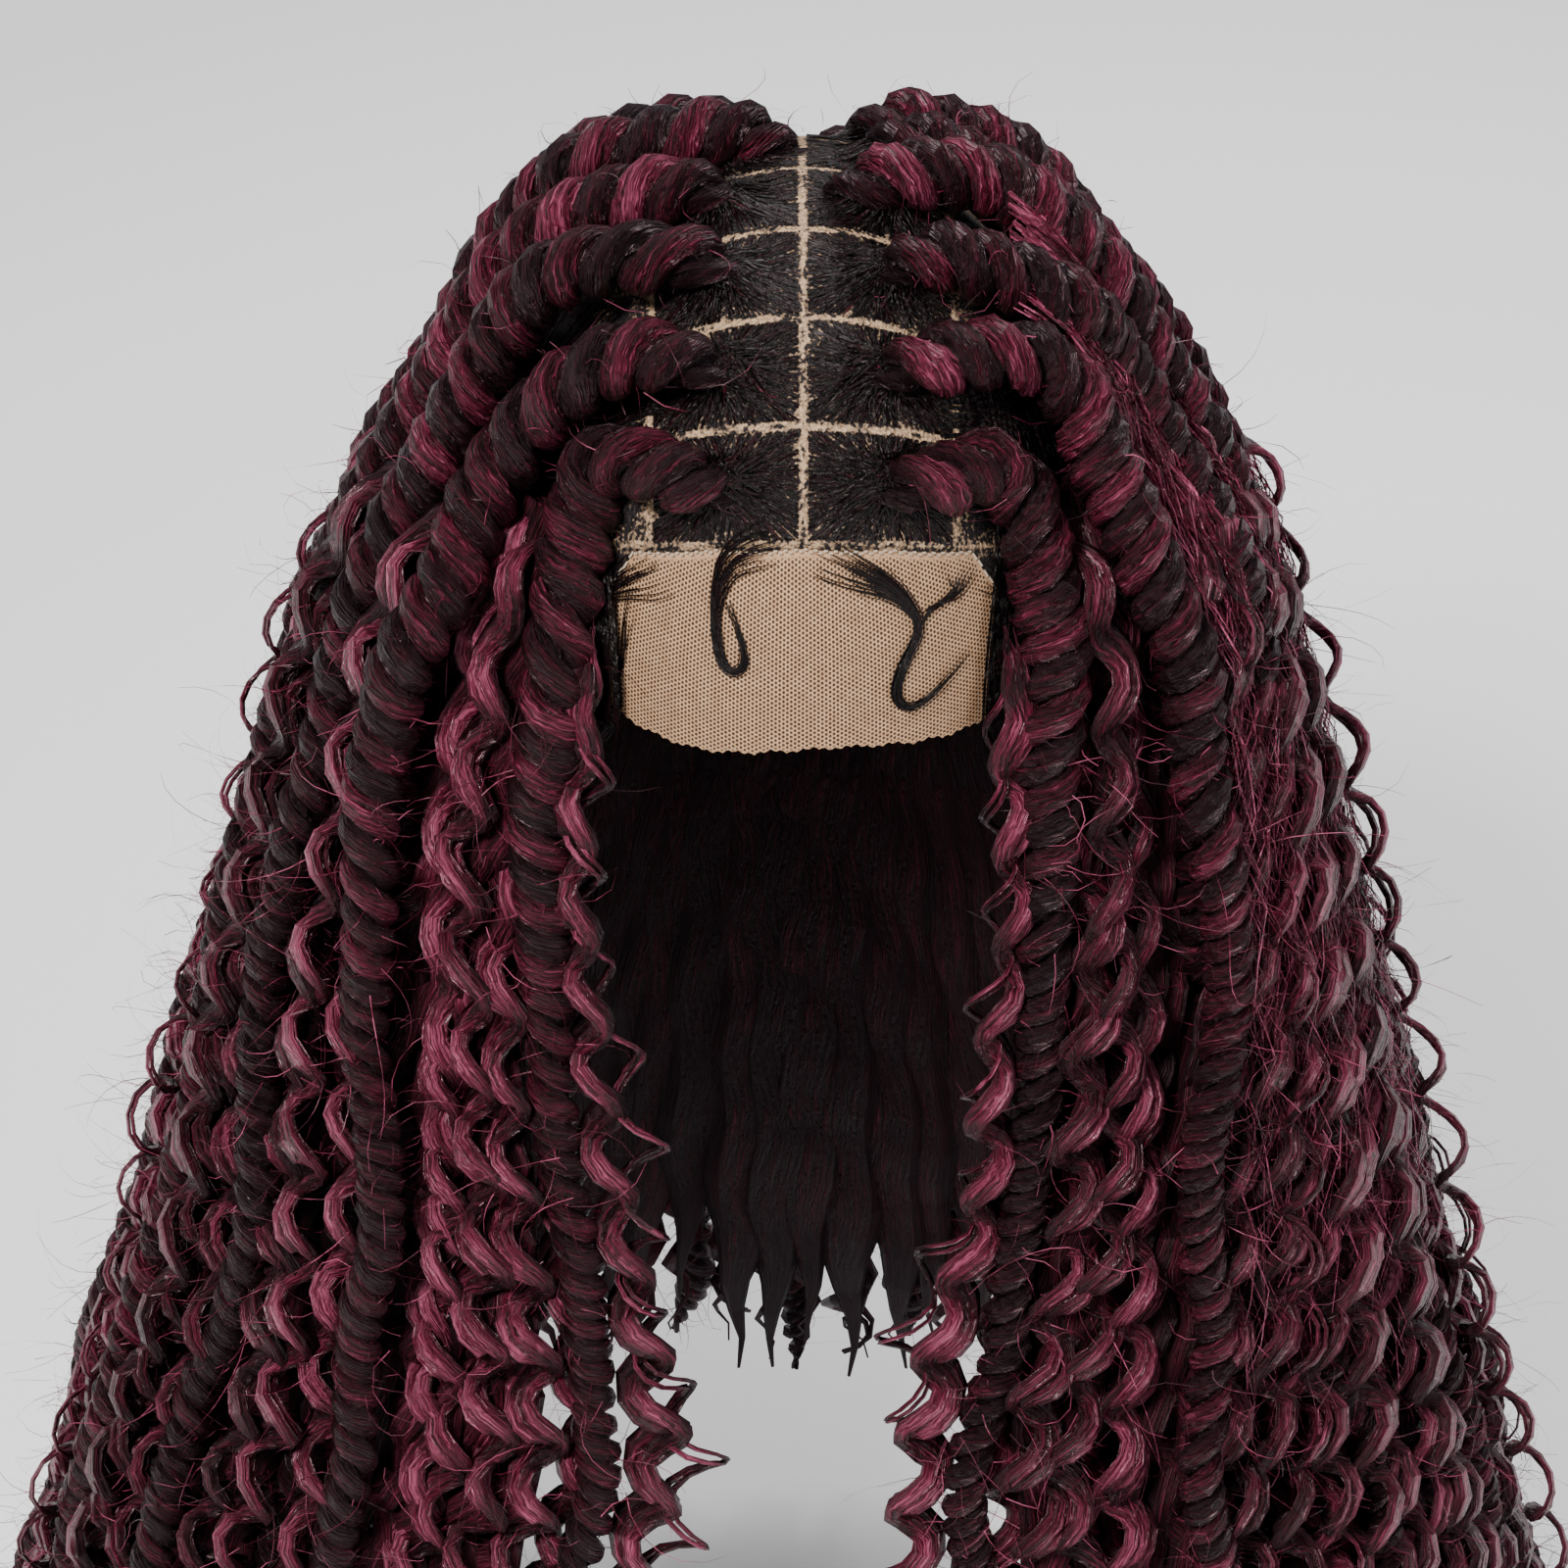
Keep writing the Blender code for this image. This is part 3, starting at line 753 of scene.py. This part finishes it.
# Outer twists, from the roots beside the middle parting. By side, -1 for the left, and row: how far each
# bulges up over the head and how much nearer the parting it begins, in metres. By row: how many rows it
# lies nearer the hairline over the head.
BULGES = {
    -1: (0, 0.002, 0.004, 0.001, 0.006, 0.001, 0, 0, 0),
    1: (0, 0.001, 0.003, 0.005, 0, 0.002, 0, 0, 0),
}
NEARER = {
    -1: (0, 0, 0.003, 0.002, 0.018, 0.008, 0, 0, 0),
    1: (0, 0.002, 0, 0.013, 0.004, 0.008, 0, 0, 0),
}
LEANS = (0.30, 0.22, 0.10, 0, 0, 0, 0, 0, 0)
for side, hand in SIDES:
    outer = Strands()
    for row in range(ROWS):
        drop = HAIR_DROP + TIP_STEP * (row * 2 % 3 - 1)
        line = lock_line(row, 0.0, twist_heights(row, BULGES[side][row]), drop, LEANS[row])
        near = 1 - smooth(run_lengths(line[None])[0] / 0.045)
        line[:, 0] -= NEARER[side][row] * near
        line = natural(flip(line, side), 0.0055 if row else 0.0022)
        tones = two_tones(0.16 + rng.uniform(-0.06, 0.10), 0.40 + rng.uniform(-0.10, 0.14))
        twisted = rope(outer, line, TWIST_RADIUS, 8, 12, tones, side)
        loose_fibres(frizz, twisted, TWIST_FIBRES, 0.009)
    nodes = [f"twist_{row + 1}_{hand}" for row in range(ROWS)]
    outer.make(f"twists_{hand}", hair["twist"], nodes)

# Inner twists, from lower roots, between the outer ones
inner = Strands()
for row in range(1, ROWS):
    for side, _ in SIDES if row < ROWS - 1 else SIDES[1:]:
        drop = HAIR_DROP + TIP_STEP * (row % 3 - 1)
        line = lock_line(row + 0.5, 0.5, inner_heights(UNDER_REST, UNDER_SIDE), drop)
        line = flip(natural(line, 0.0030), side)
        tones = two_tones(0.18 + rng.uniform(-0.05, 0.08), 0.36 + rng.uniform(-0.08, 0.10))
        twisted = rope(inner, line, INNER_RADIUS, 6, 7, tones, side)
        loose_fibres(frizz, twisted, INNER_FIBRES, 0.010)
inner.make("inner_twists", hair["under"], [
    f"under_twist_{row}_{hand}" for row in range(1, ROWS - 1) for _, hand in SIDES
] + ["under_twist_middle"])

# Curls between and over the twists, each by its row, start, height and sway, and those that come out
# from under the locks below the widest level, each by its row and the drop where it starts
LOWER_HEIGHTS = ((1, TWIST_SIDE - 0.003), (0.2, 0.0150), (0, 0.0040))
for side, hand in SIDES:
    curls = Strands()
    spots = [(row + 0.5, 0.66, TWIST_SIDE, 0.0056) for row in range(1, ROWS)]
    spots += [(0.48, 0.64, 0.0165, 0.0056), (0.86, 0.60, 0.0120, 0.0040), (-0.28, 0.80, 0.0070, 0.0045)]
    spots += [
        (rng.uniform(1.2, 7), rng.uniform(0.45, 0.7), TWIST_SIDE + rng.uniform(0.004, 0.009), 0.0050)
        for _ in range(3)
    ]
    if side > 0:
        spots += [
            (rng.uniform(1.7, 3.2), rng.uniform(0.25, 0.5), rng.uniform(0.030, 0.037), 0.0056)
            for _ in range(4)
        ]
    for row, start, height, sway in spots:
        drop = HAIR_DROP + rng.uniform(-0.030, 0.008)
        line = lock_line(row, start, rising(start, min(UNDER_REST + 0.010, height), height), drop)
        curl(curls, side, natural(line, 0.0025), CURL_WIDTH, sway, rng.uniform(*CURL_WAVE),
             row * 2.4 + rng.normal(0, 0.5), rng.uniform(0.36, 0.58))
    lower = [(0.14, 0.12)] + [(row + 0.26, rng.uniform(0.00, 0.06)) for row in range(ROWS)]
    lower += [(row + 0.75, rng.uniform(0.02, 0.08)) for row in range(ROWS - 1)]
    for row, start in lower:
        height = next(height for least, height in LOWER_HEIGHTS if row > least)
        line = hanging_lock(row, start, height, HAIR_DROP + rng.uniform(-0.030, 0.008))
        curl(curls, side, natural(line, 0.0025), CURL_WIDTH, 0.0060, rng.uniform(*CURL_WAVE),
             row * 2.4 + rng.normal(0, 0.5), rng.uniform(0.34, 0.56), count=116)
    nodes = [f"curl_{row + 1}_{hand}" for row in range(ROWS - 1)] + (["curl_middle"] if side > 0 else [])
    curls.make(f"curls_{hand}", hair["curl"], nodes)

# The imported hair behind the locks: flat locks inside and loose coils outside them
packed = Strands()
PACKED_LOCKS = 40
for height, sway, wave, count, width, flat, dark in (
    (0.0026, 0.0016, 0.075, 34, 0.0086, 0.28, 0.06),
    (0.0085, 0.0042, 0.029, 76, 0.0050, 0.55, 0.26),
):
    for n in range(2 * PACKED_LOCKS):
        side = -1 if n < PACKED_LOCKS else 1
        slot = mix(0.095, 1.0, (n % PACKED_LOCKS + rng.uniform(0.2, 0.8)) / PACKED_LOCKS)
        azimuth = mix(FACE_AZIMUTH, 180, slot)
        head = on_head(azimuth, np.linspace(24, 0, 8)[:-1], height)
        hanging = drape(slot, height, np.linspace(0, HAIR_DROP - rng.uniform(0.0, 0.05), 50))
        line = flip(softened(resampled(spread(np.concatenate([head, hanging])), 60), 2), side)
        line = wavy(line, sway, sway / 2, wave * rng.uniform(0.8, 1.3), rng.uniform(0, 6.3), count)[0]
        share = np.linspace(0, 1, count)
        radius = width * mix(1, 1.8, share) * mix(1, 0.04, smooth((share - 0.80) / 0.20) ** 0.8)
        tone = rng.uniform(dark, dark + 0.22)
        packed.tubes(line[None], radius[None], outward(line)[None], tone, 5, flat=flat)
packed.make("packed_hair", hair["packed"], ["under_hair"])

# A soft, brushed-out length on the right, and thin tendrils at the edges, each by its row, side, height,
# drop and thickness
loose = Strands()
k, m = BRUSHED_FIBRES, 22
rows = rng.normal(2.5, 0.60, k)
for n in range(k):
    start = rng.uniform(0.18, 0.50)
    height = rng.uniform(0.024, 0.038)
    over = np.linspace(start, 1, 10)[:-1]
    row = float(np.clip(rows[n], 1.2, 4.2))
    head = spread(lifted(way(row, over), inner_heights(0.022, height)(over)))
    hanging = spread(drape((row + 0.5) / ROWS, height, np.linspace(0, rng.uniform(0.04, 0.24), 20)))
    line = resampled(np.concatenate([head, hanging]), m)
    phase = row * 9 + rng.normal(0, 0.7)
    line = wavy(line, rng.uniform(0.002, 0.005), 0.0035, rng.uniform(0.034, 0.042), phase, m)[0][None]
    loose.ribbons(line, np.linspace(0.00065, 0.0003, m)[None], outward(line) + rng.normal(0, 0.4, (1, 1, 3)),
                  np.array([[rng.uniform(0.50, 0.92)]]))
TENDRILS = (
    (3.4, 1, 0.040, 0.42, 0.0022),
    (4.1, 1, 0.036, 0.36, 0.0011),
    (-0.42, -1, 0.004, 0.43, 0.0013),
    (-0.40, 1, 0.004, 0.38, 0.0011),
    (3.2, -1, 0.036, 0.40, 0.0011),
    (1.6, 1, 0.036, 0.42, 0.0012),
)
for row, side, height, drop, thick in TENDRILS:
    line = natural(lock_line(row, 0.75, inner_heights(0.020 if row > 0 else height, height), drop), 0.006)
    curl(loose, side, line, 1.5 * thick, 0.0062, 0.028, rng.uniform(0, 6.3), 0.50,
         threads=2, count=150, sides=4, thick=thick)
loose.make("brushed_out_hair", hair["curl"])


# The cap: knotted hair on lace outside, rows of sewn hair inside

def rim_height(azimuth):
    """Height of the cap's edge above the widest level."""
    return np.interp(np.abs(azimuth), RIM_AZIMUTH, RIM_SHARE) * CROWN


def rim_elevation(azimuth):
    return np.degrees(np.arcsin(rim_height(azimuth) / CAP_HEIGHT))


def grid_quads(rows, columns):
    row, column = np.meshgrid(np.arange(rows - 1), np.arange(columns - 1), indexing="ij")
    base = row * columns + column
    return np.stack([base, base + 1, base + columns + 1, base + columns], axis=-1).reshape(-1, 4)


def row_number(points):
    """How many rows a point of the head is behind the hairline, and its angle to the side."""
    row = np.degrees(np.arctan2((points[..., 2] + CROWN) / CAP_HEIGHT, -points[..., 1] / HALF_LENGTH))
    side = np.degrees(np.arcsin(np.clip(points[..., 0] / HALF_WIDTH, -1, 1)))
    return (row - FIRST_ROW) / ROW_STEP + 0.5, side


def with_vectors(piece, name, values):
    attribute = piece.data.attributes.new(name, "FLOAT_VECTOR", "POINT")
    attribute.data.foreach_set("vector", values.astype(np.float32).ravel())


azimuth = np.linspace(-180, 180, 121)
edge = rim_elevation(azimuth)
share = np.concatenate([np.linspace(0, 0.985, 34), [0.998]])[:, None]
outside = on_head(azimuth, mix(edge, 90, share), 0.0)
inside = on_head(azimuth, mix(edge, 90, share), -CAP_WALL)
shell = np.concatenate([inside[::-1], outside])
rows = len(shell)
piece = mesh_piece(
    "cap", shell.reshape(-1, 3), grid_quads(rows, len(azimuth)), scalp_material(),
    ["cap_crown", "cap_front", "cap_right", "cap_back", "cap_left"],
)
number, aside = row_number(shell)
shown = smooth((number + 0.2) / 0.2) * smooth((PARTED_ROWS + 0.3 - number) / 0.5)
shown = shown * smooth((50 - np.abs(aside)) / 6)
shown[:rows // 2] = 0
with_vectors(piece, "grid", stack(number, aside, shown))

# Hair drawn from the partings to each root, and combed down the rest of the scalp
drawn = Strands()
for root in range(ROWS):
    for side, _ in SIDES:
        k = ROOT_FIBRES
        if root < PARTED_ROWS:
            row = rng.uniform(-0.47, 0.47, k) * ROW_STEP + FIRST_ROW + root * ROW_STEP
            off = rng.uniform(1.0, SIDE_PARTING - 0.8, k)
            beside = rng.integers(0, 6, k)
            row = np.where(beside < 2, FIRST_ROW + (root + 0.455 * np.sign(beside - 0.5)) * ROW_STEP, row)
            off = np.where(beside == 2, 0.9, np.where(beside == 3, SIDE_PARTING - 0.8, off))
            start = scalp_point(row, off, 0.0003)
            bundle = scalp_point(FIRST_ROW + root * ROW_STEP, ROOT_ANGLE, 0.0)[None]
        else:
            middle = mix(FACE_AZIMUTH, 180, (root + 0.5) / ROWS)
            start = on_head(middle + rng.uniform(-11, 11, k), FAN_ELEVATION + rng.uniform(-16, 20, k), 0.0003)
            bundle = on_head(middle, FAN_ELEVATION, 0.0)[None]
        lead = way(root, np.array((0.0, 0.05)))
        bundle = bundle + unit(lead[1:] - lead[:1]) * 0.004
        end = lifted(bundle + rng.normal(0, 0.0016, (k, 3)), 0.0045 + 0.002 * rng.uniform(-1, 1, k))
        steps = np.linspace(0, 1, 6)[None, :, None]
        lines = start[:, None] * (1 - steps) + end[:, None] * steps
        rise = 0.0004 + 0.0055 * smooth((steps[0, :, 0] - 0.35) / 0.65) ** 1.3
        lines = lifted(lines.reshape(-1, 3), np.tile(rise, k)).reshape(k, 6, 3)
        lines = flip(lines, side)
        widths = rng.uniform(0.0004, 0.0007, (k, 1))
        facing = outward(lines) + rng.normal(0, 0.15, (k, 1, 3))
        drawn.ribbons(lines, widths, facing, rng.uniform(0.0, 0.14, (k, 1)))
for n in range(COMBED_FIBRES):
    temple = n % 3 == 0
    row = rng.uniform(-0.4, 0.9) if temple else rng.uniform(-0.3, ROWS - 0.5)
    start = rng.uniform(0.12, 0.32) if temple else rng.uniform(0.22, 0.45)
    line = lifted(way(row, np.linspace(start, 1.0, 9)), np.linspace(0.0006, 0.0035, 9))
    line = flip(line, -1 if n % 2 else 1)[None]
    drawn.ribbons(line, np.array([[0.0010]]), outward(line), np.array([[rng.uniform(0.0, 0.16)]]))
drawn.make("scalp_hair", hair["scalp"])

# Sewn rows of hair inside the cap
weft = Strands()
for height in np.linspace(0.12, 0.86, 12):
    around = np.linspace(-180, 180, 81)
    line = on_head(around, mix(rim_elevation(around), 90, height), -CAP_WALL - 0.0004)
    weft.tubes(line[None], np.full((1, len(around)), WEFT_RADIUS), outward(line)[None], 0.12, 4, flat=0.6)
weft.make("weft_rows", hair["scalp"])

# The lace front, its stitched seam and the short hair laid on it
around = np.linspace(-45, 45, 151)
top = rim_height(around)
wave = EDGE_WAVE * np.sin(around * 0.11 + 1.0) + 0.0004 * np.sin(around * 0.83)
pinked = 0.0010 * np.abs((around * 0.5) % 1 * 2 - 1)
low = 0.0010 + wave + pinked
level = np.linspace(0, 1, 41)[:, None]
height = mix(low, top, level)


def front_point(azimuth, height, off=0.0):
    """A point of the lace front by its azimuth and its height above the widest level."""
    rise = np.degrees(np.arcsin(np.clip(height / CAP_HEIGHT, -1, 1)))
    return on_head(azimuth, rise, off)


surface = front_point(around, height, -0.0004)
net = mesh_piece(
    "lace_net", surface.reshape(-1, 3), grid_quads(len(level), len(around)), net_material(),
    ["lace_front"],
)
across = np.radians(around) * FOREHEAD_RADIUS
from_top = top - height
bound = np.maximum(smooth((0.0022 - from_top) / 0.0008), 0.75 * smooth((0.0007 - (height - low)) / 0.0004))
with_vectors(net, "flat", stack(across, height, bound))

seam = Strands()
for n in range(STITCHES):
    at = mix(-44, 44, (n + 0.5) / STITCHES)
    span = np.linspace(-0.36, 0.36, 5) + at
    line = front_point(span, rim_height(span) - 0.0006 + 0.0005 * (n % 2), 0.0004)
    seam.tubes(line[None], np.full((1, 5), STITCH_RADIUS), outward(line)[None], 0.5, 5)
seam.make("hairline_stitches", thread_material())

# Short hairs laid in loops on the lace front: how many, and their way sideways and up from the middle of
# the widest level, in mm
LAID_HAIR = (
    (34, (-6, 57), (-13, 55), (-19, 51), (-21, 46), (-22, 40), (-22, 35), (-21, 29), (-20, 25), (-18, 23),
     (-15, 25), (-14, 28), (-16, 35), (-19, 42)),
    (38, (3, 55), (11, 51), (20, 46), (24, 43), (26, 40), (28, 37), (30, 34), (29, 31), (27, 28), (25, 25),
     (24, 22), (23, 19), (23, 16), (24, 13), (26, 12), (29, 12), (32, 13), (35, 16), (38, 19), (40, 20),
     (42, 22)),
    (16, (41, 44), (39, 39), (36, 38), (32, 37), (30, 35), (28, 31)),
    (22, (-37, 47), (-45, 40), (-52, 31), (-58, 21), (-62, 10), (-66, -2)),
    (9, (-45, 40), (-46, 27), (-46, 19), (-47, 12), (-47, 5), (-49, -3), (-52, -11), (-54, -12), (-55, -7)),
    (22, (45, 44), (49, 39), (53, 33), (56, 21), (57, 9), (58, -3), (57, -16)),
)
laid = Strands()
for count, *swoop in LAID_HAIR:
    path = np.array(swoop) / 1000
    path = resampled(np.column_stack([path, np.zeros(len(path))]), 40)
    path = softened(path, 3)[:, :2]
    along = unit(np.gradient(path, axis=0))
    normal = np.stack([-along[:, 1], along[:, 0]], axis=1)
    for n in range(count):
        share = np.linspace(0, 1, 40)
        fan = rng.normal(0, 0.0012)
        offset = fan * (2.4 - 2.0 * smooth(share / 0.45)) + 0.0004 * np.sin(share * 9 + rng.uniform(0, 6))
        begin, end = rng.integers(0, 9), rng.integers(28, 41)
        flat = (path + normal * offset[:, None])[begin:end]
        x, z = flat[:, 0], flat[:, 1]
        ring = np.sqrt(np.maximum(1 - (z / CAP_HEIGHT) ** 2, 0.05))
        azimuth = np.degrees(np.arcsin(np.clip(x / (HALF_WIDTH * ring), -0.98, 0.98)))
        line = front_point(azimuth, z, 0.0005 + rng.uniform(0, 0.0006))[None]
        width = 0.00046 * np.sin(np.linspace(0.15, math.pi - 0.1, end - begin))[None] ** 0.5
        laid.ribbons(line, width, outward(line), np.array([[rng.uniform(0.0, 0.15)]]))
laid.make("laid_hair", hair["scalp"])

# Loose fibres all round the wig
k = FRIZZ_FIBRES
row = rng.uniform(-0.2, ROWS - 0.5, k)
drops = rng.uniform(-0.01, 0.42, k)
start = np.stack([
    flip(spread(drape((r + 0.5) / ROWS, h if r > 0.8 else h - 0.016, max(d, 0))), s) + (0, 0, max(-d, 0))
    for r, d, h, s in zip(row, drops, TWIST_SIDE + rng.uniform(-0.003, 0.006, k), rng.choice((-1, 1), k))
])
heading = unit(outward(start) * rng.uniform(-0.1, 0.5, (k, 1)) + rng.normal(0, 0.5, (k, 3))
               + np.array((0, 0, -1)) * rng.uniform(-0.6, 2.0, (k, 1)))
stray(frizz, start, heading, rng.uniform(0.018, 0.042, k), rng.uniform(0.2, 0.75, k),
      rng.uniform(0.46, 0.84, (k, 1)), rng.uniform(0.00024, 0.00036, k), 7)
frizz.make("loose_fibres", hair["frizz"])

# Floor, lights and camera
FLOOR_LEVEL = -0.62
floor = bpy.data.meshes.new("floor")
corners = [(x, y, FLOOR_LEVEL) for x, y in ((-4, -4), (4, -4), (4, 4), (-4, 4))]
floor.from_pydata(corners, [], [(0, 1, 2, 3)])
ground = bpy.data.objects.new("floor", floor)
paint = Nodes("pale_floor")
paint.shader.inputs["Base Color"].default_value = (0.95, 0.96, 0.96, 1)
paint.shader.inputs["Roughness"].default_value = 0.8
paint.shader.inputs["Emission Color"].default_value = (0.97, 0.99, 1.0, 1)
paint.shader.inputs["Emission Strength"].default_value = 0.14
floor.materials.append(paint.material)
bpy.context.scene.collection.objects.link(ground)

world = bpy.data.worlds.new("studio")
world.use_nodes = True
background = world.node_tree.nodes["Background"]
background.inputs["Color"].default_value = (0.92, 0.94, 1.0, 1)
background.inputs["Strength"].default_value = 0.19
bpy.context.scene.world = world

LIGHT_AIM = Vector((0, 0, -0.2))


def area_light(name, place, size, power, colour):
    """A light that aims at the middle of the wig."""
    light = bpy.data.lights.new(name, "AREA")
    light.size, light.energy, light.color = size, power, colour
    lamp = bpy.data.objects.new(name, light)
    bpy.context.scene.collection.objects.link(lamp)
    lamp.location = place
    lamp.rotation_euler = (LIGHT_AIM - Vector(place)).to_track_quat("-Z", "Y").to_euler()


area_light("key", (-0.6, -1.3, 1.3), size=0.40, power=74, colour=(1.0, 0.98, 0.96))
area_light("fill", (1.3, -1.0, 0.6), size=1.2, power=17, colour=(0.96, 0.97, 1.0))
area_light("rim", (0.4, 1.2, 1.2), size=0.9, power=34, colour=(1.0, 0.95, 0.97))

VIEW_ELEVATION = math.radians(35)
VIEW_DISTANCE = 1.2
FRAME_WIDTH = 0.429
VIEW_DROP = 0.0635
VIEW_SHIFT = 0.0048
sight = Vector((0, math.cos(VIEW_ELEVATION), -math.sin(VIEW_ELEVATION)))
above = Vector((0, math.sin(VIEW_ELEVATION), math.cos(VIEW_ELEVATION)))
target = Vector((0, 0, -CROWN)) - above * VIEW_DROP - Vector((VIEW_SHIFT, 0, 0))
lens = bpy.data.cameras.new("camera")
lens.angle = 2 * math.atan(FRAME_WIDTH / 2 / VIEW_DISTANCE)
camera = bpy.data.objects.new("camera", lens)
bpy.context.scene.collection.objects.link(camera)
camera.location = target - sight * VIEW_DISTANCE
camera.rotation_euler = sight.to_track_quat("-Z", "Y").to_euler()
bpy.context.scene.camera = camera
